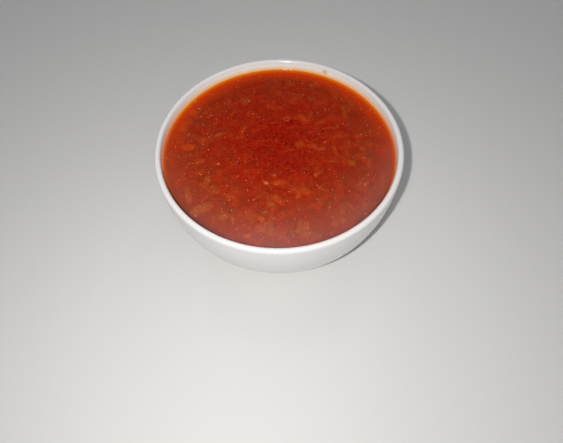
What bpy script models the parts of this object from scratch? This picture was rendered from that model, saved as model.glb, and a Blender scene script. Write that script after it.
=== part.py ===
"""Borscht in a round white porcelain bowl. Metres, +Z up, origin at the middle of the base.

Two solids: the turned bowl, which stands on its foot ring, and the soup that fills it to a few
millimetres below the rim. Shreds of root vegetable and cabbage break the soup's surface and are
fused to it.
"""

import math
import random

import bmesh
import bpy
from mathutils import Matrix, Vector

# Bowl
RIM_RADIUS = 0.070
HEIGHT = 0.060
LIP_RADIUS = 0.0017  # the rim is fully rounded, so the wall there is twice this
BASE_THICKNESS = 0.0045
WALL_SQUARENESS = 2.3  # exponent of the superellipse that the wall follows: 2 is an ellipse
FOOT_HEIGHT = 0.006
FOOT_RADIUS = 0.0385
FOOT_WIDTH = 0.0042
FOOT_TAPER = 0.0008
FOOT_FILLET = 0.0015
FOOT_EDGE_RADIUS = 0.0007

# Soup
SOUP_LEVEL = 0.0542
SOUP_CLEARANCE = 0.0003
MENISCUS_RISE = 0.0008
MENISCUS_REACH = 0.0020
SURFACE_RINGS = (0.045, 0.025, 0.010, 0.004, 0.002, 0.0008)  # how far in from the soup's edge

# Shreds that break the surface
SHRED_SEED = 7
SHRED_COUNT = 42
SHRED_FIELD_RADIUS = 0.0600
SHRED_LENGTH = (0.0070, 0.0150)
SHRED_WIDTH = (0.0018, 0.0030)
SHRED_THICKNESS = (0.0014, 0.0020)
SHRED_PROUD = (0.00015, 0.00045)
SHRED_BEND = 0.9  # radians that a shred may curve over its length
SHRED_TAPER = 0.2  # how much narrower a shred is at its ends
SHRED_DROOP = 0.25  # how far its ends hang below its middle, as a share of its thickness
SHRED_CHAMFER = 0.3  # of its long edges, as a share of its thickness
SHRED_TILT = 0.06
SHRED_SCATTER = 0.25  # radians that a shred may stray from its place on the spiral
SHRED_CUTS = 3

# Fineness
STEPS = 72
WALL_POINTS = 12
LIP_POINTS = 8
CORNER_POINTS = 3
MERGE_DISTANCE = 0.00001
SHARP_ANGLE = math.radians(35)

LIP_HEIGHT = HEIGHT - LIP_RADIUS
WALL_FOOT_RADIUS = FOOT_RADIUS + FOOT_FILLET
WALL_REACH = RIM_RADIUS - WALL_FOOT_RADIUS
WALL_DROP = LIP_HEIGHT - FOOT_HEIGHT
GOLDEN_ANGLE = math.pi * (3 - math.sqrt(5))


def clear_scene():
    for obj in list(bpy.data.objects):
        bpy.data.objects.remove(obj, do_unlink=True)


def make_collection(name):
    collection = bpy.data.collections.new(name)
    bpy.context.scene.collection.children.link(collection)
    return collection


def make_material(name, color, roughness, metallic=0.0):
    material = bpy.data.materials.new(name)
    material.use_nodes = True
    shader = material.node_tree.nodes["Principled BSDF"]
    shader.inputs["Base Color"].default_value = (*color, 1.0)
    shader.inputs["Roughness"].default_value = roughness
    shader.inputs["Metallic"].default_value = metallic
    material.diffuse_color = (*color, 1.0)
    return material


def arc(center, radius, start, end, points):
    """Points on an arc in the profile plane, with its angles in degrees."""
    angles = [math.radians(start + (end - start) * i / points) for i in range(points + 1)]
    return [(center[0] + radius * math.cos(a), center[1] + radius * math.sin(a)) for a in angles]


def wall_point(turn, inset=0.0):
    """A point of the outer wall, from the lip (turn 0) to the foot (turn 1), moved inwards."""
    cos = math.cos(turn * math.pi / 2)
    sin = math.sin(turn * math.pi / 2)
    power = 2 / WALL_SQUARENESS
    outside = Vector((WALL_FOOT_RADIUS + WALL_REACH * abs(cos) ** power,
                      LIP_HEIGHT - WALL_DROP * abs(sin) ** power))
    normal = Vector((abs(cos) ** (2 - power) / WALL_REACH, -abs(sin) ** (2 - power) / WALL_DROP))
    return outside - normal.normalized() * inset


def wall_thickness(turn):
    """The wall thickens from the rim to the base."""
    return 2 * LIP_RADIUS + (BASE_THICKNESS - 2 * LIP_RADIUS) * turn


def inner_point(turn, clearance=0.0):
    return wall_point(turn, wall_thickness(turn) + clearance)


def turn_at_height(height, clearance):
    """How far down the wall its inner face is at this height."""
    low, high = 0.0, 1.0
    for _ in range(40):
        middle = (low + high) / 2
        if inner_point(middle, clearance)[1] > height:
            low = middle
        else:
            high = middle
    return low


def soup_height(radius, edge_radius):
    """The level, with the meniscus that climbs the wall."""
    return SOUP_LEVEL + MENISCUS_RISE * math.exp((radius - edge_radius) / MENISCUS_REACH)


def bowl_profile():
    """From the middle of the floor, up the inside, over the lip and down the outside."""
    inside = [inner_point(1 - i / WALL_POINTS) for i in range(WALL_POINTS)]
    lip = arc((RIM_RADIUS - LIP_RADIUS, LIP_HEIGHT), LIP_RADIUS, 180, 0, LIP_POINTS)
    outside = [wall_point(i / WALL_POINTS) for i in range(1, WALL_POINTS + 1)]
    fillet = arc((WALL_FOOT_RADIUS, FOOT_HEIGHT - FOOT_FILLET), FOOT_FILLET, 90, 180, CORNER_POINTS)
    edge = FOOT_EDGE_RADIUS
    foot_outside = arc((FOOT_RADIUS - FOOT_TAPER - edge, edge), edge, 0, -90, CORNER_POINTS)
    foot_inside = arc((FOOT_RADIUS - FOOT_WIDTH + FOOT_TAPER + edge, edge), edge, -90, -180, CORNER_POINTS)
    underside = [(FOOT_RADIUS - FOOT_WIDTH, FOOT_HEIGHT), (0.0, FOOT_HEIGHT)]
    floor = [(0.0, inner_point(1)[1])]
    return floor + inside + lip + outside + fillet[1:] + foot_outside + foot_inside + underside


def soup_profile():
    """From the middle of the surface, out to the wall and down it to the middle of the floor."""
    top_turn = turn_at_height(SOUP_LEVEL + MENISCUS_RISE, SOUP_CLEARANCE)
    edge_radius = inner_point(top_turn, SOUP_CLEARANCE)[0]
    radii = [0.0] + [edge_radius - gap for gap in SURFACE_RINGS]
    surface = [(radius, soup_height(radius, edge_radius)) for radius in radii]
    turns = [top_turn + (1 - top_turn) * i / WALL_POINTS for i in range(WALL_POINTS + 1)]
    side = [inner_point(turn, SOUP_CLEARANCE) for turn in turns]
    return surface + side + [(0.0, side[-1][1])]


def turned_solid(name, profile, material, collection):
    """A profile in the XZ plane turned round Z."""
    mesh = bpy.data.meshes.new(name)
    points = [(x, 0.0, z) for x, z in profile]
    mesh.from_pydata(points, [(i, i + 1) for i in range(len(points) - 1)], [])
    obj = bpy.data.objects.new(name, mesh)
    collection.objects.link(obj)
    mesh.materials.append(material)
    screw = obj.modifiers.new("Turn", "SCREW")
    screw.axis = "Z"
    screw.steps = STEPS
    screw.render_steps = STEPS
    screw.use_merge_vertices = True
    screw.merge_threshold = MERGE_DISTANCE
    screw.use_smooth_shade = True
    return obj


def add_shred(rng, index, material, collection):
    """A bent strip with blunt ends, lying in the surface with its back just above it."""
    length = rng.uniform(*SHRED_LENGTH)
    width = rng.uniform(*SHRED_WIDTH)
    thickness = rng.uniform(*SHRED_THICKNESS)
    bend = rng.uniform(-SHRED_BEND, SHRED_BEND)
    bm = bmesh.new()
    bmesh.ops.create_cube(bm, size=1.0)
    bmesh.ops.scale(bm, vec=(length, width, thickness), verts=bm.verts)
    long_edges = [e for e in bm.edges if abs(e.verts[0].co.x - e.verts[1].co.x) > length / 2]
    bmesh.ops.bevel(bm, geom=long_edges, offset=SHRED_CHAMFER * thickness, segments=1, affect="EDGES")
    long_edges = [e for e in bm.edges if abs(e.verts[0].co.x - e.verts[1].co.x) > length / 2]
    bmesh.ops.subdivide_edges(bm, edges=long_edges, cuts=SHRED_CUTS)
    for vert in bm.verts:
        along = 2 * vert.co.x / length  # from -1 at one end to 1 at the other
        taper = 1 - SHRED_TAPER * abs(along) ** 3
        turn = bend * along / 2
        sideways = vert.co.y * taper
        vert.co.x = length * along / 2 - math.sin(turn) * sideways
        vert.co.y = bend * length * along ** 2 / 8 + math.cos(turn) * sideways
        vert.co.z = vert.co.z * taper - SHRED_DROOP * thickness * along ** 2
    radius = (SHRED_FIELD_RADIUS - length / 2) * math.sqrt((index + 0.5) / SHRED_COUNT)
    angle = index * GOLDEN_ANGLE + rng.uniform(-SHRED_SCATTER, SHRED_SCATTER)
    height = SOUP_LEVEL - thickness / 2 + rng.uniform(*SHRED_PROUD)
    place = Matrix.Translation((radius * math.cos(angle), radius * math.sin(angle), height))
    place @= Matrix.Rotation(rng.uniform(0, math.pi), 4, "Z")
    place @= Matrix.Rotation(rng.uniform(-SHRED_TILT, SHRED_TILT), 4, "Y")
    bmesh.ops.transform(bm, matrix=place, verts=bm.verts)
    mesh = bpy.data.meshes.new(f"shred_{index}")
    bm.to_mesh(mesh)
    bm.free()
    mesh.materials.append(material)
    obj = bpy.data.objects.new(mesh.name, mesh)
    collection.objects.link(obj)


def fuse(target, collection, solver):
    """Joins every object of the collection to the target in one union, and removes them."""
    union = target.modifiers.new("Fuse", "BOOLEAN")
    union.operation = "UNION"
    union.operand_type = "COLLECTION"
    union.collection = collection
    union.solver = solver
    evaluated = target.evaluated_get(bpy.context.evaluated_depsgraph_get())
    mesh = bpy.data.meshes.new_from_object(evaluated)
    target.modifiers.clear()
    target.data = mesh
    for obj in list(collection.objects):
        bpy.data.objects.remove(obj, do_unlink=True)
    bpy.data.collections.remove(collection)


def build_bowl(collection):
    porcelain = make_material("white_glazed_porcelain", (0.83, 0.83, 0.81), 0.12)
    return turned_solid("bowl", bowl_profile(), porcelain, collection)


def build_soup(collection):
    soup_red = make_material("borscht_red", (0.30, 0.03, 0.008), 0.10)
    soup = turned_solid("broth", soup_profile(), soup_red, collection)
    shreds = make_collection("shreds")
    rng = random.Random(SHRED_SEED)
    for index in range(SHRED_COUNT):
        add_shred(rng, index, soup_red, shreds)
    fuse(soup, shreds, "EXACT")
    soup.data.set_sharp_from_angle(angle=SHARP_ANGLE)
    return soup


def build():
    clear_scene()
    collection = make_collection("bowl_of_borscht")
    build_bowl(collection)
    build_soup(collection)


build()
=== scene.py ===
import math
import random

import bpy
import numpy as np
from mathutils import Matrix, Vector, noise


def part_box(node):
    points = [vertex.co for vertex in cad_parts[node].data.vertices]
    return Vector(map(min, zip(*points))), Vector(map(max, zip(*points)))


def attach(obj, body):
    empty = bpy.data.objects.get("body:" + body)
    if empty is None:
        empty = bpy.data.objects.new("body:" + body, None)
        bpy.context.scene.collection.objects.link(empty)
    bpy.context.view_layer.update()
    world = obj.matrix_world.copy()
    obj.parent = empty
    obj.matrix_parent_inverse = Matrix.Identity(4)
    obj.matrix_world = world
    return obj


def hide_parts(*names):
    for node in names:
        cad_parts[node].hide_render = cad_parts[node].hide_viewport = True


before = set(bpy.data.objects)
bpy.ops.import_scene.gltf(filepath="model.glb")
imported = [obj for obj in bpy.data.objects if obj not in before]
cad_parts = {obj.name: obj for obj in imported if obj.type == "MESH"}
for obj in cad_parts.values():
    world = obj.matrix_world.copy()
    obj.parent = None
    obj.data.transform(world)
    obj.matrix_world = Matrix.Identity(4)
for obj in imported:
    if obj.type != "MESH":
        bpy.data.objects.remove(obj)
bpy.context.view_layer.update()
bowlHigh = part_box("bowl")[1]
mm = 0.001
brothLevel = 54.2 * mm  # of the broth's flat surface, within its meniscus
goldenAngle = math.pi * (3 - math.sqrt(5))

# settings that many shader nodes share
smooth = {"interpolation_type": "SMOOTHSTEP"}
times = {"operation": "MULTIPLY"}
inColour = {"data_type": "RGBA"}


def linear(hexColour, alpha=1.0):
    # an sRGB hex colour as the linear values that Blender's sockets take
    channels = [int(hexColour[i:i + 2], 16) / 255 for i in (1, 3, 5)]
    return tuple(c / 12.92 if c <= 0.04045 else ((c + 0.055) / 1.055) ** 2.4 for c in channels) + (alpha,)


def setInputs(tree, node, **inputs):
    # an input is a number, an sRGB hex colour, a socket to link, or a node whose first working output is
    # linked; underscores stand for spaces, and i0, i1 are numbered sockets
    for name, value in inputs.items():
        numbered = name[0] == "i" and name[1:].isdigit()
        socket = node.inputs[int(name[1:])] if numbered else node.inputs[name.replace("_", " ")]
        if isinstance(value, bpy.types.Node):
            value = next(output for output in value.outputs if output.enabled)
        if isinstance(value, bpy.types.NodeSocket):
            tree.links.new(value, socket)
        else:
            socket.default_value = linear(value) if isinstance(value, str) else value


def addNode(tree, kind, settings=None, **inputs):
    made = tree.nodes.new("ShaderNode" + kind)
    for name, value in (settings or {}).items():
        setattr(made, name, value)
    setInputs(tree, made, **inputs)
    return made


def newMaterial(name):
    material = bpy.data.materials.new(name)
    material.use_nodes = True
    return material, material.node_tree, material.node_tree.nodes["Principled BSDF"]


def placeInBowl(tree):
    # a point's place, that place's X, Y and Z, and how far it is from the bowl's axis
    place = addNode(tree, "TexCoord").outputs["Object"]
    parts = addNode(tree, "SeparateXYZ", Vector=place).outputs
    flat = addNode(tree, "CombineXYZ", X=parts["X"], Y=parts["Y"], Z=0.0)
    return place, parts, addNode(tree, "VectorMath", {"operation": "LENGTH"}, i0=flat)


def addPiece(name, points, faces, material):
    mesh = bpy.data.meshes.new(name)
    mesh.from_pydata(np.asarray(points).tolist(), [], faces)
    mesh.validate()
    mesh.shade_smooth()
    mesh.materials.append(material)
    piece = bpy.data.objects.new(name, mesh)
    bpy.context.scene.collection.objects.link(piece)
    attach(piece, "root")
    return piece


# the camera, at the photograph's angle
photoView = {
    "elevation": 49.3,  # degrees, of the line from the rim's middle to the lens
    "distance": 262.7 * mm,  # along that line
    "roll": -1.13,  # degrees
    "focalPixels": 460.0,
    "imageSize": (563, 443),
    "rimMiddlePixel": (278.9, 141.9),  # where the middle of the rim's plane stands in the picture
    "sensorWidth": 36.0,  # mm
    "clipStart": 10 * mm,
}


def makeCamera():
    view = photoView
    target = Vector((0, 0, bowlHigh.z))
    elevation = math.radians(view["elevation"])
    away = Vector((0, -math.cos(elevation), math.sin(elevation)))
    camera = bpy.data.objects.new("camera", bpy.data.cameras.new("camera"))
    camera.data.sensor_width = view["sensorWidth"]
    camera.data.lens = view["sensorWidth"] * view["focalPixels"] / view["imageSize"][0]
    camera.data.clip_start = view["clipStart"]
    # how far the target stands right of and below the lens axis, as slopes
    right, down = [(pixel - size / 2) / view["focalPixels"]
                   for pixel, size in zip(view["rimMiddlePixel"], view["imageSize"])]
    yaw = math.atan(right)
    pitch = math.asin(down / math.sqrt(1 + right * right + down * down))
    aim = (-away).to_track_quat("-Z", "Y").to_matrix()
    aim = aim @ Matrix.Rotation(math.radians(view["roll"]), 3, "Z")
    aim = aim @ Matrix.Rotation(pitch, 3, "X") @ Matrix.Rotation(yaw, 3, "Y")
    camera.matrix_world = Matrix.Translation(target + away * view["distance"]) @ aim.to_4x4()
    bpy.context.scene.collection.objects.link(camera)
    bpy.context.scene.camera = camera


makeCamera()
print("camera placed")


# light and floor: a small lamp a little left of the lens, and a soft dome with patches laid one over another.
# A patch is its elevation, its azimuth from +Y, where it begins to fade and where it ends, all in degrees,
# and its strength
studio = {
    "floorColour": "#d0d0ce",
    "floorRoughness": 0.6,
    "floorWidth": 3.0,
    "lampPlace": (-37 * mm, -198 * mm, 300 * mm),
    "lampAim": (0, 0, 50 * mm),
    "lampSize": 10 * mm,
    "lampPower": 0.98,
    "lampColour": "#fffdfa",
    "domeColour": "#f8f8fc",
    "domeStrength": 0.20,
    "domePatches": (
        (15.0, 130.0, 15.0, 60.0, 0.5),  # a wide soft light, low at the front right
        (44.0, -1.5, 23.0, 29.0, 2.0),  # a bright disc, where the level broth mirrors the dome to the lens
        (51.0, -24.0, 3.0, 16.0, 0.9),  # duller where the broth's left mirrors it,
        (57.0, 22.0, 2.0, 13.0, 1.3),  # and where its front right does
        (43.7, -0.8, 12.5, 20.5, 0.0),  # dark inside, so that the broth's middle and back stay deep red
    ),
}


def addPatch(tree, direction, strength, patch):
    # a round soft-edged patch of the dome, mixed over the strength so far
    elevation, azimuth, inner, outer = [math.radians(angle) for angle in patch[:4]]
    level = math.cos(elevation)
    middle = (math.sin(azimuth) * level, math.cos(azimuth) * level, math.sin(elevation))
    near = addNode(tree, "VectorMath", {"operation": "DOT_PRODUCT"}, i0=direction, i1=middle)
    share = addNode(tree, "MapRange", smooth, Value=near, From_Min=math.cos(outer), From_Max=math.cos(inner))
    return addNode(tree, "Mix", {"data_type": "FLOAT"}, Factor=share, A=strength, B=patch[4])


def makeStudio():
    scene = bpy.context.scene
    scene.view_settings.view_transform = "Standard"
    # matt paint: a faint wide sheen and no pattern, so only the bowl's shadow stands on it
    material, tree, shader = newMaterial("mattPaintedFloor")
    setInputs(tree, shader, Base_Color=studio["floorColour"], Roughness=studio["floorRoughness"])
    half = studio["floorWidth"] / 2
    corners = [(-half, -half, 0), (half, -half, 0), (half, half, 0), (-half, half, 0)]
    mesh = bpy.data.meshes.new("floor")
    mesh.from_pydata(corners, [], [(0, 1, 2, 3)])
    mesh.materials.append(material)
    floor = bpy.data.objects.new("floor", mesh)
    scene.collection.objects.link(floor)

    lamp = bpy.data.lights.new("lamp", "AREA")
    lamp.shape = "DISK"
    lamp.size = studio["lampSize"]
    lamp.energy = studio["lampPower"]
    lamp.color = linear(studio["lampColour"])[:3]
    holder = bpy.data.objects.new("lamp", lamp)
    holder.location = studio["lampPlace"]
    holder.rotation_euler = (Vector(studio["lampAim"]) - holder.location).to_track_quat("-Z", "Y").to_euler()
    holder.visible_camera = False
    scene.collection.objects.link(holder)

    world = bpy.data.worlds.new("studioDome")
    world.use_nodes = True
    tree = world.node_tree
    direction = addNode(tree, "TexCoord").outputs["Generated"]
    strength = studio["domeStrength"]
    for patch in studio["domePatches"]:
        strength = addPatch(tree, direction, strength, patch)
    setInputs(tree, tree.nodes["Background"], Color=studio["domeColour"], Strength=strength)
    scene.world = world


makeStudio()
print("studio lit")


# the bowl: slip-cast porcelain, glazed all over
bowlForm = {
    "lipRadius": 1.7 * mm,
    "baseThickness": 4.5 * mm,
    "wallSquareness": 2.3,  # exponent of the superellipse that the wall follows
    "footHeight": 6.0 * mm,
    "footRadius": 38.5 * mm,
    "footWidth": 4.2 * mm,
    "footTaper": 0.8 * mm,
    "footFillet": 1.5 * mm,
    "footEdgeRadius": 0.7 * mm,
    "floorRings": (0.0, 12 * mm, 24 * mm),
    "steps": 320,
    "wallPoints": 90,
    "lipPoints": 20,
    "filletPoints": 8,
    "footEdgePoints": 6,
}
rimRadius = bowlHigh.x
lipHeight = bowlHigh.z - bowlForm["lipRadius"]


def wallPoint(turn, inset=0.0):
    # from the lip (turn 0) to the foot (turn 1), moved inwards from the outer face
    form = bowlForm
    reach = rimRadius - form["footRadius"] - form["footFillet"]
    drop = lipHeight - form["footHeight"]
    power = 2 / form["wallSquareness"]
    cos, sin = abs(math.cos(turn * math.pi / 2)), abs(math.sin(turn * math.pi / 2))
    outside = Vector((rimRadius - reach + reach * cos ** power, lipHeight - drop * sin ** power))
    normal = Vector((cos ** (2 - power) / reach, -sin ** (2 - power) / drop))
    return outside - normal.normalized() * inset


def innerPoint(turn, clearance=0.0):
    # the wall thickens from the rim to the base
    rimWall = 2 * bowlForm["lipRadius"]
    return wallPoint(turn, rimWall + (bowlForm["baseThickness"] - rimWall) * turn + clearance)


def turnAtHeight(height, clearance):
    # how far down the wall its inner face is at this height, found by halving
    low, high = 0.0, 1.0
    for _ in range(40):
        middle = (low + high) / 2
        low, high = (middle, high) if innerPoint(middle, clearance)[1] > height else (low, middle)
    return low


def arc(centre, radius, start, end, points):
    angles = [math.radians(start + (end - start) * i / points) for i in range(points + 1)]
    return [(centre[0] + radius * math.cos(a), centre[1] + radius * math.sin(a)) for a in angles]


def bowlProfile():
    # from the middle of the floor, up the inside, over the lip and down the outside to the foot
    form, count = bowlForm, bowlForm["wallPoints"]
    edge, footHeight, edgePoints = form["footEdgeRadius"], form["footHeight"], form["footEdgePoints"]
    floor = [(r, innerPoint(1)[1]) for r in form["floorRings"]]
    inside = [innerPoint(1 - i / count) for i in range(count)]
    lip = arc((rimRadius - form["lipRadius"], lipHeight), form["lipRadius"], 180, 0, form["lipPoints"])
    outside = [wallPoint(i / count) for i in range(1, count + 1)]
    filletCentre = (form["footRadius"] + form["footFillet"], footHeight - form["footFillet"])
    fillet = arc(filletCentre, form["footFillet"], 90, 180, form["filletPoints"])[1:]
    outerFoot = arc((form["footRadius"] - form["footTaper"] - edge, edge), edge, 0, -90, edgePoints)
    innerRadius = form["footRadius"] - form["footWidth"]
    innerFoot = arc((innerRadius + form["footTaper"] + edge, edge), edge, -90, -180, edgePoints)
    under = [(innerRadius, footHeight), (innerRadius / 2, footHeight), (0.0, footHeight)]
    return floor + inside + lip + outside + fillet + outerFoot + innerFoot + under


def turned(profile, steps):
    # points and faces of a profile turned round Z; its first and last points are on the axis
    radii = np.array([p[0] for p in profile[1:-1]])
    heights = np.array([p[1] for p in profile[1:-1]])
    angles = np.arange(steps) * 2 * math.pi / steps
    ring = np.stack([np.outer(radii, np.cos(angles)), np.outer(radii, np.sin(angles)),
                     np.repeat(heights[:, None], steps, 1)], 2).reshape(-1, 3)
    points = np.vstack([ring, [(0, 0, profile[0][1]), (0, 0, profile[-1][1])]])
    first, last = len(points) - 2, len(points) - 1
    faces = []
    for i in range(steps):
        j = (i + 1) % steps
        faces.append((first, i, j))
        for k in range(len(radii) - 1):
            low, high = k * steps, (k + 1) * steps
            faces.append((low + i, high + i, high + j, low + j))
        low = (len(radii) - 1) * steps
        faces.append((low + j, low + i, last))
    return points, faces


glaze = {
    "white": "#dbd9d8",
    "paintedInnerLight": "#e6f0ea",  # painted light: paler inside, greener against the broth's red glow
    "paintedInnerLightFrom": (57.5 * mm, 59.2 * mm),
    "lip": "#d5d3d2",  # painted shade: the lip a little duller, to tone down the lamp's light on its top
    "lipShadeFrom": (58.3 * mm, 59.3 * mm),
    # the film's colour also holds the orange glow that the broth throws on the wall, as painted light
    "film": "#f0bc7e",  # fat and broth that have wetted the inside just above the broth
    "filmShare": 0.85,
    "filmTop": 2.9 * mm,  # above the broth
    "filmWaves": 5.0 * mm,  # from one high place of its upper edge to the next
    "filmDetail": 3.0,
    "filmRange": (0.5, 1.5),  # how low and how high that edge runs, as shares of filmTop
    "fleck": "#cabf8e",  # a scrap of herb that has dried on above the broth
    "fleckPlace": (30.1 * mm, 59.6 * mm, 57.0 * mm),
    "fleckRadius": (0.88 * mm, 2.2 * mm),  # where it begins to fade, and where it ends
    "fleckShare": 0.85,
    "roughness": 0.2,
    "index": 1.5,
    "specular": 0.22,
    "coat": 0.2,
    "coatRoughness": 0.12,
}


def porcelainMaterial():
    # glazed porcelain: a white body under a glassy coat, which gives crisp highlights on soft white
    material, tree, shader = newMaterial("glazedPorcelain")
    place, parts, radius = placeInBowl(tree)
    height = parts["Z"]
    lipMiddle = rimRadius - bowlForm["lipRadius"]
    inside = addNode(tree, "Math", {"operation": "LESS_THAN"}, i0=radius, i1=lipMiddle)
    above = addNode(tree, "Math", {"operation": "GREATER_THAN"}, i0=height, i1=brothLevel - glaze["filmTop"])
    inside = addNode(tree, "Math", times, i0=inside, i1=above)
    below = addNode(tree, "MapRange", smooth, Value=height, From_Min=glaze["paintedInnerLightFrom"][1],
                    From_Max=glaze["paintedInnerLightFrom"][0])
    paintedInnerLight = addNode(tree, "Math", times, i0=below, i1=inside)
    paintedLipShade = addNode(tree, "MapRange", smooth, Value=height, From_Min=glaze["lipShadeFrom"][0],
                    From_Max=glaze["lipShadeFrom"][1])
    waves = addNode(tree, "TexNoise", Vector=place, Scale=1 / glaze["filmWaves"], Detail=glaze["filmDetail"])
    lowest, highest = [brothLevel + glaze["filmTop"] * share for share in glaze["filmRange"]]
    filmEdge = addNode(tree, "MapRange", Value=waves, To_Min=lowest, To_Max=highest)
    wetted = addNode(tree, "MapRange", smooth, Value=height, From_Min=filmEdge, From_Max=brothLevel,
                     To_Max=glaze["filmShare"])
    film = addNode(tree, "Math", times, i0=wetted, i1=inside)
    away = addNode(tree, "VectorMath", {"operation": "DISTANCE"}, i0=place, i1=glaze["fleckPlace"])
    fleck = addNode(tree, "MapRange", Value=away, From_Min=glaze["fleckRadius"][1],
                    From_Max=glaze["fleckRadius"][0], To_Max=glaze["fleckShare"])
    # over the white: painted light inside, painted shade on the lip, the film with painted glow, a fleck
    colour = glaze["white"]
    for name, share in (("paintedInnerLight", paintedInnerLight), ("lip", paintedLipShade), ("film", film), ("fleck", fleck)):
        colour = addNode(tree, "Mix", inColour, Factor=share, A=colour, B=glaze[name])
    setInputs(tree, shader, Base_Color=colour, Roughness=glaze["roughness"], IOR=glaze["index"],
              Specular_IOR_Level=glaze["specular"], Coat_Weight=glaze["coat"],
              Coat_Roughness=glaze["coatRoughness"])
    return material


def makeBowl():
    points, faces = turned(bowlProfile(), bowlForm["steps"])
    bowl = addPiece("porcelainBowl", points, faces, porcelainMaterial())
    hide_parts("bowl")


makeBowl()
print("bowl turned")


# shreds that lie in the surface, by the rule that the solid's own shreds follow
surfaceShreds = {
    "seed": 7,
    "count": 42,
    "field": 60 * mm,
    "length": (7 * mm, 15 * mm),
    "width": (1.8 * mm, 3.0 * mm),
    "thickness": (1.4 * mm, 2.0 * mm),
    "bend": 0.9,
    "scatter": 0.25,
    "proud": (0.15 * mm, 0.45 * mm),
    "tilt": 0.06,
    "droop": 0.25,
    "film": 1.2 * mm,  # broth that covers a shred
    "swellShare": 0.06,  # how much of a shred's height above the level shows as a swelling of the surface
    "swellTop": (0.8, 0.3),  # the part of its length and of its width over which the swelling is highest
    "slope": 5.0 * mm,  # how far beside a shred the surface comes down to the level
}
brothForm = {
    "meniscusRise": 0.15 * mm,
    "meniscusReach": 0.6 * mm,
    "lipRise": 0.52 * mm,  # the steep last bit of the meniscus, against the glaze
    "lipReach": 0.25 * mm,
    "overlap": 0.15 * mm,  # how far it reaches into the wall, so that no gap shows
    "steps": 360,
    "ringSpacing": 0.6 * mm,
    "leastSpacing": 0.1 * mm,
    "edgeRings": (1.6, 1.3, 1.0, 0.75, 0.5, 0.36, 0.27, 0.2, 0.14, 0.0),  # mm in from the edge
    "wallRings": 24,
}
topTurn = turnAtHeight(brothLevel + brothForm["meniscusRise"] + brothForm["lipRise"], -brothForm["overlap"])
brothEdge = innerPoint(topTurn, -brothForm["overlap"])[0]


def shredPlaces():
    form = surfaceShreds
    rng = random.Random(form["seed"])
    places = []
    for index in range(form["count"]):
        place = {name: rng.uniform(*form[name]) for name in ("length", "width", "thickness")}
        place["bend"] = rng.uniform(-form["bend"], form["bend"])
        radius = (form["field"] - place["length"] / 2) * math.sqrt((index + 0.5) / form["count"])
        angle = index * goldenAngle + rng.uniform(-form["scatter"], form["scatter"])
        place["middle"] = (radius * math.cos(angle), radius * math.sin(angle))
        place["proud"] = rng.uniform(*form["proud"])
        place["heading"] = rng.uniform(0, math.pi)
        place["tilt"] = rng.uniform(-form["tilt"], form["tilt"])
        places.append(place)
    return places


def shredSwell(x, y):
    # how far the broth stands above its level where it covers a shred
    form = surfaceShreds
    height = np.zeros_like(x)
    for place in shredPlaces():
        cos, sin = math.cos(place["heading"]), math.sin(place["heading"])
        dx, dy = x - place["middle"][0], y - place["middle"][1]
        along, across = dx * cos + dy * sin, dy * cos - dx * sin
        across = across - place["bend"] * along ** 2 / (2 * place["length"])
        beside = np.hypot(np.maximum(np.abs(along) - place["length"] / 2 * form["swellTop"][0], 0),
                          np.maximum(np.abs(across) - place["width"] / 2 * form["swellTop"][1], 0))
        share = np.clip(1 - beside / form["slope"], 0, 1)
        height = np.maximum(height, place["proud"] * form["swellShare"] * share * share * (3 - 2 * share))
    return height


def surfaceHeight(x, y):
    inwards = np.hypot(x, y) - brothEdge
    rise = brothForm["meniscusRise"] * np.exp(inwards / brothForm["meniscusReach"])
    rise = rise + brothForm["lipRise"] * np.exp(inwards / brothForm["lipReach"])
    return brothLevel + rise + shredSwell(x, y)


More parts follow.
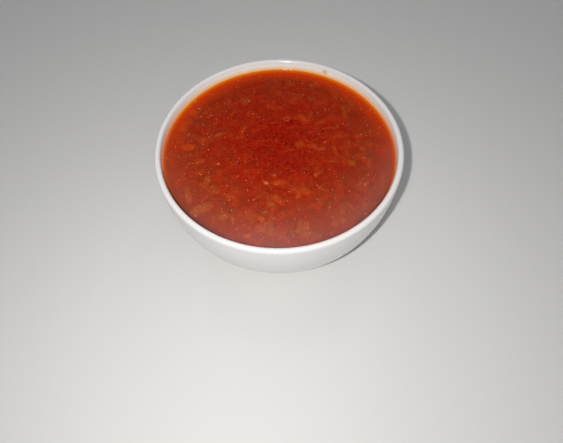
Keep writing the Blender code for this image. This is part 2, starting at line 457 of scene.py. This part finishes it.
brothLook = {
    "pulpShare": (0.56, 0.68),  # how much of what is seen is fine pulp: in the clearer middle, and outside
    "middleRadius": 26 * mm,
    "redPulp": "#981804",
    "brownPulp": "#843d1c",
    "outwards": (10 * mm, 70 * mm, 0.66),  # the pulp is browner outwards: from, to, and by how much
    "towardsFront": (45 * mm, 0.18),  # and it is browner towards the front: over what distance, and by how much
    "clouds": {"size": 9.0 * mm, "detail": 4.0, "amount": 0.6},
    "specks": {"size": 0.8 * mm, "detail": 2.0, "amount": 0.5},
    "grit": {"size": 0.45 * mm, "detail": 1.0, "amount": 0.46},  # paler grains too fine to be pieces
    "gritColour": "#cc6848",
    "gritFrom": (0.5, 0.75),  # where in the noise a grain begins, and where it is full
    "noiseRoughness": 0.6,
    "bumpHeight": 0.02 * mm,
    "bumpStrength": 0.5,
    "hazeRoughness": 0.6,
    # rings of colour against the wall, each over those before it: painted glow, from the lit wall through the
    # broth, and painted shade at the front. The first colour and width are the sides', the second the back's;
    # "along" is where along Y a ring sets in, "fade" how it grows towards the wall
    "rings": (
        # painted glow of the lit wall through the broth, at the back and sides
        {"colours": ("#d84410", "#d84410"), "width": (14 * mm, 14 * mm), "along": (-42 * mm, 50 * mm),
         "fade": ("SMOOTHSTEP", 1.0)},
        # at the front the last of it is duller: painted shade, where no glow comes back from the wall
        {"colours": ("#783327", "#783327"), "width": (10 * mm, 10 * mm), "along": (-30 * mm, -54 * mm),
         "fade": ("SMOOTHSTEP", 1.0)},
        # shallow broth over the white wall, painted with the light that the lit wall sends back through it
        {"colours": ("#f4812c", "#e89e0a"), "width": (3.2 * mm, 4.8 * mm), "along": (-42 * mm, -4 * mm),
         "fade": ("LINEAR", 1.8)},
        # the thin wedge against the wall, painted pale where the lit white wall shows through it
        {"colours": ("#ee7860", "#e6bc8c"), "width": (0.9 * mm, 1.6 * mm), "along": (-56 * mm, -36 * mm),
         "fade": ("SMOOTHSTEP", 1.0)},
    ),
    "colourTurn": (5 * mm, 38 * mm),  # along Y, where the sides' colours turn to the back's
    "widthTurn": (0.0, 60 * mm),
    "filmEnd": (11 * mm, 7 * mm),  # the film of fat ends this far from the wall,
    "filmSide": (-5 * mm, 20 * mm),  # but at the front, along Y, it reaches it
    "lipGloss": (0.9 * mm, 0.5 * mm),  # and the steep lip against the wall shines all round
    "filmIndex": 1.65,  # high, because the clear share beside it has no gloss of its own
    "filmRoughness": 0.03,
    "clearIndex": 1.34,
    "clearRoughness": 1.0,  # so that what is sunk is seen without sharp edges
    "absorbColour": (0.988, 0.71, 0.25, 1),  # linear, because a hex colour's steps are too coarse for its red
    "absorbDensity": 1530.0,
}


def pulpColour(tree, place, parts, radius):
    # red pulp that turns brown outwards, towards the front and in clouds, with paler grit in it
    look, along = brothLook, parts["Y"]
    noises = {}
    for name in ("clouds", "specks", "grit"):
        noises[name] = addNode(tree, "TexNoise", Vector=place, Scale=1 / look[name]["size"],
                               Detail=look[name]["detail"], Roughness=look["noiseRoughness"])
    reach, amount = look["towardsFront"]
    browner = addNode(tree, "MapRange", smooth, Value=radius, From_Min=look["outwards"][0],
                      From_Max=look["outwards"][1], To_Max=look["outwards"][2])
    swings = [addNode(tree, "MapRange", Value=along, From_Min=reach, From_Max=-reach, To_Min=-amount,
                      To_Max=amount)]
    swings += [addNode(tree, "MapRange", Value=noises[name], To_Min=-look[name]["amount"],
                       To_Max=look[name]["amount"]) for name in ("clouds", "specks")]
    for swing in swings:
        browner = addNode(tree, "Math", {"operation": "ADD"}, i0=browner, i1=swing)
    colour = addNode(tree, "Mix", inColour, Factor=browner, A=look["redPulp"], B=look["brownPulp"])
    gritty = addNode(tree, "MapRange", smooth, Value=noises["grit"], From_Min=look["gritFrom"][0],
                     From_Max=look["gritFrom"][1], To_Max=look["grit"]["amount"])
    colour = addNode(tree, "Mix", inColour, Factor=gritty, A=colour, B=look["gritColour"])
    return colour, noises["specks"]


def paintedEdgeLight(tree, parts, radius, colour):
    # the rings of painted glow and shade against the wall, mixed over the pulp's colour
    along = parts["Y"]
    colourTurn, widthTurn = [
        addNode(tree, "MapRange", smooth, Value=along, From_Min=ends[0], From_Max=ends[1])
        for ends in (brothLook["colourTurn"], brothLook["widthTurn"])]
    for ring in brothLook["rings"]:
        starts = [brothEdge - width for width in ring["width"]]
        start = addNode(tree, "Mix", {"data_type": "FLOAT"}, Factor=widthTurn, A=starts[0], B=starts[1])
        shape, power = ring["fade"]
        outwards = addNode(tree, "MapRange", {"interpolation_type": shape}, Value=radius, From_Min=start,
                           From_Max=brothEdge)
        outwards = addNode(tree, "Math", {"operation": "POWER"}, i0=outwards, i1=power)
        setIn = addNode(tree, "MapRange", smooth, Value=along, From_Min=ring["along"][0],
                        From_Max=ring["along"][1])
        share = addNode(tree, "Math", times, i0=outwards, i1=setIn)
        own = addNode(tree, "Mix", inColour, Factor=colourTurn, A=ring["colours"][0], B=ring["colours"][1])
        colour = addNode(tree, "Mix", inColour, Factor=share, A=colour, B=own)
    return colour


def fatFilm(tree, parts, radius):
    # 1 where the film of fat lies on the broth, 0 where the broth is bare
    look = brothLook
    bare = addNode(tree, "MapRange", smooth, Value=parts["Y"], From_Min=look["filmSide"][0],
                   From_Max=look["filmSide"][1])
    for name, ends in (("filmEnd", (0.0, 1.0)), ("lipGloss", (1.0, 0.0))):
        start, end = [brothEdge - gap for gap in look[name]]
        fade = addNode(tree, "MapRange", smooth, Value=radius, From_Min=start, From_Max=end, To_Min=ends[0],
                       To_Max=ends[1])
        bare = addNode(tree, "Math", times, i0=bare, i1=fade)
    return addNode(tree, "Math", {"operation": "SUBTRACT"}, i0=1.0, i1=bare)


def brothMaterial():
    # stock with beetroot and tomato: fine pulp hazes a clear red liquid, and a film of fat makes it shine
    look = brothLook
    material, tree, haze = newMaterial("borschtStock")
    output = tree.nodes["Material Output"]
    place, parts, radius = placeInBowl(tree)
    colour, grain = pulpColour(tree, place, parts, radius)
    colour = paintedEdgeLight(tree, parts, radius, colour)
    bump = addNode(tree, "Bump", Height=grain, Distance=look["bumpHeight"], Strength=look["bumpStrength"])
    setInputs(tree, haze, Base_Color=colour, Normal=bump, Coat_Normal=bump, Roughness=look["hazeRoughness"],
              Specular_IOR_Level=0.0, Coat_Weight=fatFilm(tree, parts, radius), Coat_IOR=look["filmIndex"],
              Coat_Roughness=look["filmRoughness"])
    clear = addNode(tree, "BsdfRefraction", Color=(1, 1, 1, 1), Roughness=look["clearRoughness"],
                    IOR=look["clearIndex"], Normal=bump)
    share = addNode(tree, "MapRange", smooth, Value=radius, From_Min=0.0, From_Max=look["middleRadius"],
                    To_Min=look["pulpShare"][0], To_Max=look["pulpShare"][1])
    body = addNode(tree, "MixShader", i0=share, i1=clear, i2=haze)
    # lamps reach what is sunk in the broth straight through its surface
    path = addNode(tree, "LightPath")
    lit = addNode(tree, "BsdfTransparent")
    surface = addNode(tree, "MixShader", i0=path.outputs["Is Shadow Ray"], i1=body, i2=lit)
    absorb = addNode(tree, "VolumeAbsorption", Color=look["absorbColour"], Density=look["absorbDensity"])
    setInputs(tree, output, Surface=surface, Volume=absorb)
    return material


def makeBroth():
    form = brothForm
    count = int(brothEdge / form["ringSpacing"])
    fine = [brothEdge - gap * mm for gap in form["edgeRings"]]
    radii = [brothEdge * i / count for i in range(count + 1)]
    radii = [r for r in radii if r < fine[0] - form["leastSpacing"]] + fine
    rings = form["wallRings"]
    side = [innerPoint(topTurn + (1 - topTurn) * i / rings, -form["overlap"]) for i in range(1, rings + 1)]
    profile = [(r, brothLevel) for r in radii] + side + [(0.0, side[-1][1])]
    points, faces = turned(profile, form["steps"])
    topCount = (len(radii) - 1) * form["steps"]
    points[:topCount, 2] = surfaceHeight(points[:topCount, 0], points[:topCount, 1])
    points[-2, 2] = surfaceHeight(points[-2:-1, 0], points[-2:-1, 1])[0]
    broth = addPiece("brothBody", points, faces, brothMaterial())
    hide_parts("broth")


makeBroth()
print("broth filled")


def joinCopies(copies, faces):
    # one mesh from many copies of a shape: copies is an array of count by points by 3
    count, size = copies.shape[:2]
    return copies.reshape(-1, 3), [tuple(i + size * n for i in face) for n in range(count) for face in faces]


def tubeFaces(rings, sides):
    faces = []
    for r in range(rings - 1):
        for k in range(sides):
            n = (k + 1) % sides
            faces.append((r * sides + k, r * sides + n, (r + 1) * sides + n, (r + 1) * sides + k))
    first, last = rings * sides, rings * sides + 1
    for k in range(sides):
        n = (k + 1) % sides
        faces.append((first, n, k))
        faces.append((last, (rings - 1) * sides + k, (rings - 1) * sides + n))
    return faces


# how every cut strip ends, narrows and waves; a wave is in radians from its middle to its end
stripForm = {"endPower": 10, "endLeast": 0.03, "taperPower": 3, "raggedWave": 4.1, "rippleWave": 3.3}


def stripPoints(form, length, width, thickness, bend, ripple=0.0, phase=0.0, twist=0.0):
    # a bent, tapering strip with rounded sides, around its own middle
    rings, sides = form["rings"], form["sides"]
    along = np.linspace(-1, 1, rings)[:, None]
    around = (np.arange(sides) * 2 * math.pi / sides)[None, :]
    cos, sin = np.cos(around), np.sin(around)
    size = np.sqrt(np.clip(1 - np.abs(along) ** stripForm["endPower"], stripForm["endLeast"], 1))
    size = size * (1 - form["taper"] * np.abs(along) ** stripForm["taperPower"])
    size = size * (1 + form["ragged"] * np.sin(stripForm["raggedWave"] * along + phase))
    across = np.sign(cos) * np.abs(cos) ** form["squareness"] * width / 2 * size
    up = np.sign(sin) * np.abs(sin) ** form["squareness"] * thickness / 2 * size
    roll = twist * along
    across, up = across * np.cos(roll) - up * np.sin(roll), across * np.sin(roll) + up * np.cos(roll)
    turn = bend * along
    wave = ripple * thickness * np.sin(stripForm["rippleWave"] * along + phase)
    x = length / 2 * along - np.sin(turn) * across
    y = bend * length * along ** 2 / 4 + np.cos(turn) * across
    z = up - form["droop"] * thickness * along ** 2 + wave
    strip = np.stack([x, y, z], 2).reshape(-1, 3)
    return np.vstack([strip, strip[:sides].mean(0), strip[-sides:].mean(0)])


def placed(points, middle, top, heading, pitch=0.0):
    # turned to its heading and set so that its highest point is at the height given
    turnMatrix = Matrix.Rotation(heading, 3, "Z") @ Matrix.Rotation(pitch, 3, "Y")
    points = points @ np.array(turnMatrix).T
    points = points + np.array((middle[0], middle[1], 0.0))
    points[:, 2] += top - points[:, 2].max()
    return points


fleshLook = {
    "ownShade": 0.6,  # how much of a shred's colour is its own; the rest changes along its fibres
    "detail": 3.0,
    "roughness": 0.45,
}


def vegetableMaterial(name, colours, grain):
    # boiled vegetable, soft and wet: its colour differs from shred to shred and along the fibres
    material, tree, shader = newMaterial(name)
    place = addNode(tree, "TexCoord").outputs["Object"]
    shade = addNode(tree, "NewGeometry").outputs["Random Per Island"]
    fibres = addNode(tree, "TexNoise", Vector=place, Scale=1 / grain, Detail=fleshLook["detail"])
    blend = addNode(tree, "Mix", {"data_type": "FLOAT"}, Factor=fleshLook["ownShade"], A=fibres, B=shade)
    colour = addNode(tree, "Mix", inColour, Factor=blend, A=colours[0], B=colours[1])
    setInputs(tree, shader, Base_Color=colour, Roughness=fleshLook["roughness"])
    return material


# grated and cut vegetables, sunk in the top of the broth; depths are those of a shred's highest point.
# Each kind has these values where it doesn't say otherwise
cutForm = {
    "count": 0, "length": (5 * mm, 12 * mm), "width": (2.8 * mm, 5.2 * mm),
    "thickness": (1.6 * mm, 2.8 * mm), "bend": 0.5, "twist": 0.4, "ripple": 0.2, "taper": 0.3, "ragged": 0.06,
    "droop": 0.2, "squareness": 1.0, "pitch": 0.2, "depth": (0.9 * mm, 6 * mm), "field": 64 * mm, "rings": 10,
    "sides": 12, "surface": (),
}
# the shreds in the surface go to the kinds in turns of six, of which "surface" is what a kind takes; "seen"
# are the pieces that stand out: x, y, length and width in mm, heading in degrees
vegetables = {
    "carrotShreds": {
        "count": 190, "taper": 0.35, "rings": 8, "sides": 8,
        "colours": ("#a45c30", "#a86c44"), "grain": 2.0 * mm, "surface": (0, 3),
        "seen": ((-45, -7, 8, 3.6, 20), (-44, 9, 7, 4.2, 18), (-25, -45, 5.5, 3.2, -71),
                 (25, 21, 9, 3.6, 22), (35, 10, 14, 3.6, 3), (47, 10, 8, 4.2, -5), (51, -10, 6.5, 3.4, 68),
                 (-21, 17, 10, 3.6, 76), (29, -49, 6, 4.6, 51), (14, -50, 7, 4.0, 74)),
    },
    "cabbageShreds": {
        "count": 240, "length": (6 * mm, 14 * mm), "width": (3.6 * mm, 6.4 * mm),
        "thickness": (1.2 * mm, 2.2 * mm), "bend": 0.6, "ripple": 0.4, "ragged": 0.08, "droop": 0.3,
        "rings": 11, "sides": 8,
        "colours": ("#986c58", "#a07c68"), "grain": 3.0 * mm, "surface": (1,),
        "seen": ((18, 3, 4.5, 3.6, 0), (32, 0, 10.5, 3.0, -74), (48, 0, 4.4, 4.6, 0),
                 (1, 45, 8.6, 3.8, -80), (-20, 40, 8, 5.0, 68), (21, 41, 5, 4.6, 12), (-12, 27, 3.8, 3.8, 0),
                 (-34, 13, 12, 2.6, 25), (-40, -21, 8, 3.8, 85), (-35, -28, 6, 3.6, -24),
                 (-5, -52, 10, 3.6, 88), (-8, -42, 4, 2.6, 22), (40, 29, 12, 3.0, -84), (22, -17, 8, 3.0, 44),
                 (10, -51, 9.5, 3.6, 79)),
    },
    "beetrootShreds": {
        "count": 210, "rings": 8, "sides": 8, "colours": ("#883024", "#943c2c"), "grain": 2.0 * mm,
        "surface": (2, 5), "seen": ((-10, 33, 8, 5.0, 67), (-28, -7, 7.5, 5.0, -36)),
    },
    "potatoPieces": {
        "count": 120, "length": (5 * mm, 10 * mm), "width": (4.0 * mm, 6.8 * mm),
        "thickness": (2.0 * mm, 3.5 * mm), "bend": 0.1, "twist": 0.1, "ripple": 0.0, "taper": 0.15,
        "ragged": 0.05, "droop": 0.0, "squareness": 0.9, "pitch": 0.25, "rings": 9,
        "colours": ("#a06840", "#a87448"), "grain": 4.0 * mm, "surface": (4,),
        "seen": ((-50, -29, 12.5, 4.6, -75), (-40, -38, 9.5, 6.0, 18), (-30, -44, 6.5, 5.2, 45),
                 (-5, -37, 5.4, 3.8, 11), (12, 4, 6.2, 4.8, 24), (41, -10, 5.4, 5.4, 0)),
    },
    "carrotPieces": {
        "ripple": 0.1, "taper": 0.2, "droop": 0.1, "squareness": 0.9,
        "colours": ("#b46434", "#c0784a"), "grain": 3.0 * mm,
        "seen": ((-10, -46, 5, 4.2, -45), (-17, -56, 5, 3.5, 0), (0, -23, 10, 3.8, 8),
                 (14, -29, 7.5, 5.0, -31), (10, -31, 6, 3.4, 84), (-1, -34, 9.5, 4.2, -48),
                 (-3, -18, 3.2, 2.6, 0), (15, 24, 10, 4.4, -56), (33, -48, 4.5, 3.3, 41)),
    },
    "carrotEnds": {  # cut thicker, so paler through the haze
        "thickness": (2.4 * mm, 3.0 * mm), "ripple": 0.0, "taper": 0.1, "ragged": 0.04, "droop": 0.0,
        "squareness": 0.7, "colours": ("#c4743e", "#cc7e48"), "grain": 3.0 * mm,
        "seen": ((-52.6, 3.9, 8.6, 4.8, -3),),
    },
    "onionPieces": {
        "thickness": (1.0 * mm, 1.4 * mm), "ripple": 0.0, "ragged": 0.04, "droop": 0.1,
        "colours": ("#a06c54", "#a8765e"), "grain": 3.0 * mm,
        "seen": ((24.2, 0.4, 6.4, 3.8, 8), (20.4, 2.6, 3.4, 3.0, 0)),
    },
}
sinking = {
    "seed": 100,  # of the first kind; the others follow
    "turns": 6,
    "phase": 6,  # radians
    "seenDepth": (0.45 * mm, 0.75 * mm),
    "seenBend": 0.1,
    "seenPitch": 0.08,
    "seenRipple": 0.3,  # of a kind's own
    "middleRadius": 27 * mm,  # inside this the vegetables have sunk deeper
    "middleDepth": 3.5 * mm,
    "alongWall": 0.2,  # radians that a shred at the wall may stray from the wall's own direction
}


def surfaceStrips(form):
    # this kind's shreds in the surface, covered by a film of broth
    strips = []
    for index, place in enumerate(shredPlaces()):
        if index % sinking["turns"] in form["surface"]:
            strip = stripPoints({**form, "droop": surfaceShreds["droop"]}, place["length"], place["width"],
                                place["thickness"], place["bend"] / 2)
            top = brothLevel + place["proud"] * surfaceShreds["swellShare"] - surfaceShreds["film"]
            strips.append(placed(strip, place["middle"], top, place["heading"], place["tilt"]))
    return strips


def seenStrips(form, rng):
    # the pieces that stand out, close under the surface
    bend, pitch = sinking["seenBend"], sinking["seenPitch"]
    strips = []
    for x, y, length, width, heading in form["seen"]:
        strip = stripPoints(form, length * mm, width * mm, rng.uniform(*form["thickness"]),
                            rng.uniform(-bend, bend), sinking["seenRipple"] * form["ripple"],
                            rng.uniform(0, sinking["phase"]))
        top = brothLevel - rng.uniform(*sinking["seenDepth"])
        strips.append(placed(strip, (x * mm, y * mm), top, math.radians(heading), rng.uniform(-pitch, pitch)))
    return strips


def sunkStrips(form, rng):
    # all the others, scattered evenly and at every depth
    stray = sinking["alongWall"]
    strips = []
    for _ in range(form["count"]):
        length, width, thickness = [rng.uniform(*form[size]) for size in ("length", "width", "thickness")]
        strip = stripPoints(form, length, width, thickness, rng.uniform(-form["bend"], form["bend"]),
                            form["ripple"] * rng.uniform(-1, 1), rng.uniform(0, sinking["phase"]),
                            rng.uniform(-form["twist"], form["twist"]))
        radius = (form["field"] - width / 2) * math.sqrt(rng.random())
        angle = rng.uniform(0, 2 * math.pi)
        beside = radius + length / 2 > form["field"]  # near the wall they lie along it
        heading = angle + math.pi / 2 + rng.uniform(-stray, stray) if beside else rng.uniform(0, 2 * math.pi)
        depth = rng.uniform(*form["depth"])
        depth += sinking["middleDepth"] * max(0.0, 1 - radius / sinking["middleRadius"])
        middle = (radius * math.cos(angle), radius * math.sin(angle))
        pitch = rng.uniform(-form["pitch"], form["pitch"])
        strips.append(placed(strip, middle, brothLevel - depth, heading, pitch))
    return strips


def makeVegetables():
    for kind, (name, own) in enumerate(vegetables.items()):
        form = {**cutForm, **own}
        rng = random.Random(sinking["seed"] + kind)
        strips = surfaceStrips(form) + seenStrips(form, rng) + sunkStrips(form, rng)
        points, faces = joinCopies(np.array(strips), tubeFaces(form["rings"], form["sides"]))
        material = vegetableMaterial("boiled" + name[0].upper() + name[1:], form["colours"], form["grain"])
        addPiece(name, points, faces, material)


makeVegetables()
print("vegetables sunk")


def ballMesh(rings, sides):
    return turned(arc((0.0, 0.0), 1.0, 90, -90, rings), sides)


# pulp of tomato and beetroot and grains of garlic and spice, fine enough to make the broth cloudy
grains = {
    "tomatoPulp": {"seed": 200, "count": 3600, "size": (0.25 * mm, 0.9 * mm), "depth": (0.3 * mm, 6 * mm),
                   "field": 65 * mm, "ball": (3, 5), "colours": ("#a45030", "#b47048")},
    "beetrootPulp": {"seed": 201, "count": 3600, "size": (0.25 * mm, 0.9 * mm), "depth": (0.2 * mm, 6 * mm),
                     "field": 65 * mm, "ball": (3, 5), "colours": ("#80180e", "#982c1c")},
    "garlicGrains": {"seed": 202, "count": 200, "size": (0.35 * mm, 1.1 * mm), "depth": (0.3 * mm, 3 * mm),
                     "field": 63 * mm, "ball": (5, 8), "colours": ("#d4844e", "#dc9c70"),
                     # those near the surface: x, y, length and width in mm, heading in degrees, height in mm
                     "seen": ((-7.3, -23.6, 3.4, 2.6, -15, 0.05), (-41.9, 12.5, 1.6, 1.0, 40, -0.06),
                              (-44.5, -44.0, 1.8, 1.6, 0, -0.03), (46.7, -25.6, 2.2, 1.8, -60, -0.06),
                              (-34.2, -9.9, 2.6, 1.4, 30, -0.06), (27.2, -46.2, 1.2, 1.0, 0, -0.06),
                              (-40.5, 0.4, 1.4, 1.2, 0, -0.03), (-29.4, 39.0, 1.2, 1.0, 0, -0.06),
                              (20.0, -18.5, 2.0, 1.6, 0, -0.25))},
}
grainForm = {
    "uneven": (0.5, 1.2),  # each of a grain's three measures, as a share of its size
    "flatness": 0.7,  # how high those near the surface are, as a share of their width
    "shading": 3.0 * mm,
}


def makeGrains():
    for name, form in grains.items():
        ball, faces = ballMesh(*form["ball"])
        rng = np.random.default_rng(form["seed"])
        count = form["count"]
        size = rng.uniform(*form["size"], (count, 1, 1)) / 2
        size = size * rng.uniform(*grainForm["uneven"], (count, 1, 3))
        angle = rng.uniform(0, 2 * math.pi, count)
        cos, sin = np.cos(angle)[:, None], np.sin(angle)[:, None]
        copies = ball[None] * size
        x, y = copies[..., 0] * cos - copies[..., 1] * sin, copies[..., 0] * sin + copies[..., 1] * cos
        radius = form["field"] * np.sqrt(rng.uniform(0, 1, count))[:, None]
        around = rng.uniform(0, 2 * math.pi, count)[:, None]
        depth = rng.uniform(*form["depth"], count)[:, None]
        z = copies[..., 2] - copies[..., 2].max(1, keepdims=True) - depth
        copies = np.stack([x + radius * np.cos(around), y + radius * np.sin(around), z + brothLevel], 2)
        for x, y, length, width, heading, height in form.get("seen", ()):
            grain = ball * np.array((length, width, width * grainForm["flatness"])) * mm / 2
            grain = placed(grain, (x * mm, y * mm), brothLevel + height * mm, math.radians(heading))
            copies = np.append(copies, grain[None], 0)
        points, allFaces = joinCopies(copies, faces)
        material = vegetableMaterial(name + "Flesh", form["colours"], grainForm["shading"])
        addPiece(name, points, allFaces, material)


makeGrains()
print("pulp stirred in")


settledForm = {
    "depth": 6.5 * mm,
    "wallGap": 5.0 * mm,
    "relief": 1.6 * mm,
    "reliefSize": 6.0 * mm,
    "reliefDetail": (0.6, 2.0, 4),  # how fast finer lumps shrink, how much finer each set is, number of sets
    "shoulder": (6.0 * mm, 3.0 * mm),  # its top rounds off towards the wall: over what width, and how far
    "sideStep": (1.2 * mm, 2.2 * mm),  # in and down, for each ring of its side
    "sideRings": 8,
    "steps": 180,
    "rings": 60,
    "colours": ("#903822", "#a44c32"),
    "shading": 3.0 * mm,
}


def makeSettled():
    # the vegetables that lie packed below what the eye makes out: one mound with a lumpy top
    form = settledForm
    edge = brothEdge - form["wallGap"]
    level = brothLevel - form["depth"]
    inwards, down = form["sideStep"]
    width, drop = form["shoulder"]
    top = [(edge * i / form["rings"], level) for i in range(form["rings"] + 1)]
    side = [(edge - inwards * i, level - down * i) for i in range(1, form["sideRings"] + 1)]
    points, faces = turned(top + side + [(0.0, side[-1][1])], form["steps"])
    for point in points:
        if point[2] > level - down / 2:
            spot = Vector((point[0], point[1], 0)) / form["reliefSize"]
            point[2] += form["relief"] * noise.fractal(spot, *form["reliefDetail"])
            outside = max(0.0, (math.hypot(point[0], point[1]) - edge + width) / width)
            point[2] -= drop * outside ** 2
    material = vegetableMaterial("settledVegetablesFlesh", form["colours"], form["shading"])
    addPiece("settledVegetables", points, faces, material)


makeSettled()
print("depth filled")


# drops of fat and bubbles on the surface, the bubbles' pale dots being painted glints; "seen" are those that
# stand out: x, y and radius in mm. The higher "smallness", the more of the others are small, and "lean" is by
# how much and towards which side they crowd, in radians and in degrees from +X
fatEyes = {
    "seed": 300, "count": 680, "radius": (0.2 * mm, 0.78 * mm), "smallness": 2.6,
    "height": (0.08, 0.06 * mm),  # as a share of the radius, and at most
    "spread": 14.5 * mm, "field": 32 * mm,  # they gather in the middle; those past the field move inwards
    "lean": (0.0, 0), "ball": (4, 14), "colours": ("#7e0a04", "#921a08"), "roughness": 0.3,
    # the first, beside the large bubble, is dark as that bubble's painted shadow
    "seen": ((6.4, 19.2, 2.2), (-1.6, 18.2, 1.0), (0.7, -7.2, 1.3), (-10.7, -3.3, 0.9), (5.0, 7.5, 1.0),
             (-4.4, 20.8, 1.0), (2.2, 20.8, 0.5)),
    # where a pale piece lies close under the surface none show: x, y and radius in mm
    "clearings": ((12.0, 4.0, 3.6), (18.0, 3.0, 2.6), (24.2, 0.4, 3.4), (15.0, 24.0, 4.6), (-0.5, -23.0, 4.6),
                  (14.0, -29.0, 4.6), (10.0, -31.0, 3.6), (-1.0, -34.0, 4.6)),
}
beadForm = {
    "radius": (0.06 * mm, 0.24 * mm), "smallness": 3.0, "field": 64 * mm, "ball": (5, 8), "roughness": 0.45,
    "gathering": 0.36,  # under 0.5 they are fewer in the middle
    "lean": (0.16, -75),
}
beads = {
    "paintedGlintBeads": {
        "seed": 400, "count": 1120, "colours": ("#f07850", "#ffbc98"),
        "seen": ((-51.0, 38.7, 0.35), (22.1, -27.0, 0.2), (21.2, -28.1, 0.24), (23.4, -26.2, 0.2),
                 (22.6, -29.0, 0.22), (20.4, -26.4, 0.18)),
    },
    # painted sparkles of the lamp on the broth's edge against the glaze
    "paintedWallSparkles": {  # only three, as white as the glaze behind them
        "seed": 401, "count": 0, "colours": ("#fff4e4", "#fff8ec"),
        "seen": ((4.1, 65.5, 0.42), (5.7, 65.5, 0.42), (8.6, 65.2, 0.42)),
    },
}
largeBubble = {
    "middle": (4.8 * mm, 22.7 * mm), "radius": 1.6 * mm, "wall": 0.12 * mm, "flatness": 0.6,
    "steps": 48, "sides": 10, "colours": ("#b45440", "#c46450"), "shading": 1.0 * mm, "detail": 2.0,
    "roughness": 0.4, "specular": 0.05,
}


def scatteredSizes(form, rng):
    low, high = form["radius"]
    return low + (high - low) * rng.uniform(0, 1, form["count"]) ** form["smallness"]


def surfaceSpots(form, rng, radius):
    # the middles of drops scattered at these radii from the axis, after those of the seen ones
    amount, towards = form["lean"]
    angle = rng.uniform(0, 2 * math.pi, len(radius))
    angle = angle - amount * np.sin(angle - math.radians(towards))
    seen = np.array(form["seen"]) * mm
    x, y = np.append(seen[:, 0], radius * np.cos(angle)), np.append(seen[:, 1], radius * np.sin(angle))
    return np.stack([x, y, surfaceHeight(x, y)], 1), seen[:, 2]


def dropMaterial(name, form):
    # each drop or bead has its own shade between the two, and no gloss, so that it stands out evenly
    material, tree, shader = newMaterial(name)
    shade = addNode(tree, "NewGeometry").outputs["Random Per Island"]
    colour = addNode(tree, "Mix", inColour, Factor=shade, A=form["colours"][0], B=form["colours"][1])
    setInputs(tree, shader, Base_Color=colour, Roughness=form["roughness"], Specular_IOR_Level=0.0)
    return material


def makeFatEyes():
    # drops of melted fat, drawn as a solid deep red: the colour that shows where they part the haze.
    # The first seen one, beside the large bubble, is that bubble's painted shadow
    form = fatEyes
    ball, faces = ballMesh(*form["ball"])
    rng = np.random.default_rng(form["seed"])
    size = scatteredSizes(form, rng)
    radius = form["spread"] * np.sqrt(-2 * np.log(rng.uniform(0, 1, form["count"])))
    middles, seen = surfaceSpots(form, rng, np.where(radius > form["field"], radius / 2, radius))
    kept = np.all([np.hypot(middles[:, 0] - x * mm, middles[:, 1] - y * mm) > gap * mm
                   for x, y, gap in form["clearings"]], 0)
    size, middles = np.append(seen, size)[kept, None, None], middles[kept]
    share, most = form["height"]
    ball = ball[None] * np.concatenate([size, size, np.minimum(size * share, most)], 2)
    points, allFaces = joinCopies(ball + middles[:, None], faces)
    addPiece("fatEyes", points, allFaces, dropMaterial("meltedFat", form))


def makeBeads():
    # tiny air bubbles at the surface, pale dots without gloss: painted glints of the light they mirror
    for name, own in beads.items():
        form = {**beadForm, **own}
        ball, faces = ballMesh(*form["ball"])
        rng = np.random.default_rng(form["seed"])
        size = scatteredSizes(form, rng)
        radius = form["field"] * rng.uniform(0, 1, form["count"]) ** form["gathering"]
        middles, seen = surfaceSpots(form, rng, radius)
        balls = ball[None] * np.append(seen, size)[:, None, None]
        points, allFaces = joinCopies(balls + middles[:, None], faces)
        addPiece(name, points, allFaces, dropMaterial(name + "Film", form))


def bubbleMaterial():
    # a film of broth and fat, pale as painted reflection, thicker and darker in places, with a faint gloss
    form = largeBubble
    material, tree, shader = newMaterial("bubbleFilm")
    place = addNode(tree, "TexCoord").outputs["Object"]
    thickness = addNode(tree, "TexNoise", Vector=place, Scale=1 / form["shading"], Detail=form["detail"])
    colour = addNode(tree, "Mix", inColour, Factor=thickness, A=form["colours"][0], B=form["colours"][1])
    setInputs(tree, shader, Base_Color=colour, Roughness=form["roughness"],
              Specular_IOR_Level=form["specular"])
    return material


def makeLargeBubble():
    # the foot of the one large bubble, a wet ring that stands a little above the broth
    form = largeBubble
    steps, sides = form["steps"], form["sides"]
    around = np.arange(steps)[:, None] * 2 * math.pi / steps
    across = np.arange(sides)[None, :] * 2 * math.pi / sides
    reach = form["radius"] + form["wall"] * np.cos(across)
    height = form["wall"] * form["flatness"] * np.sin(across) + 0 * around
    points = np.stack([reach * np.cos(around), reach * np.sin(around), height], 2).reshape(-1, 3)
    points = points + (*form["middle"], brothLevel)
    faces = [(i * sides + k, (i + 1) % steps * sides + k, (i + 1) % steps * sides + (k + 1) % sides,
              i * sides + (k + 1) % sides) for i in range(steps) for k in range(sides)]
    addPiece("largeBubble", points, faces, bubbleMaterial())


makeFatEyes()
makeBeads()
makeLargeBubble()
print("surface beaded")
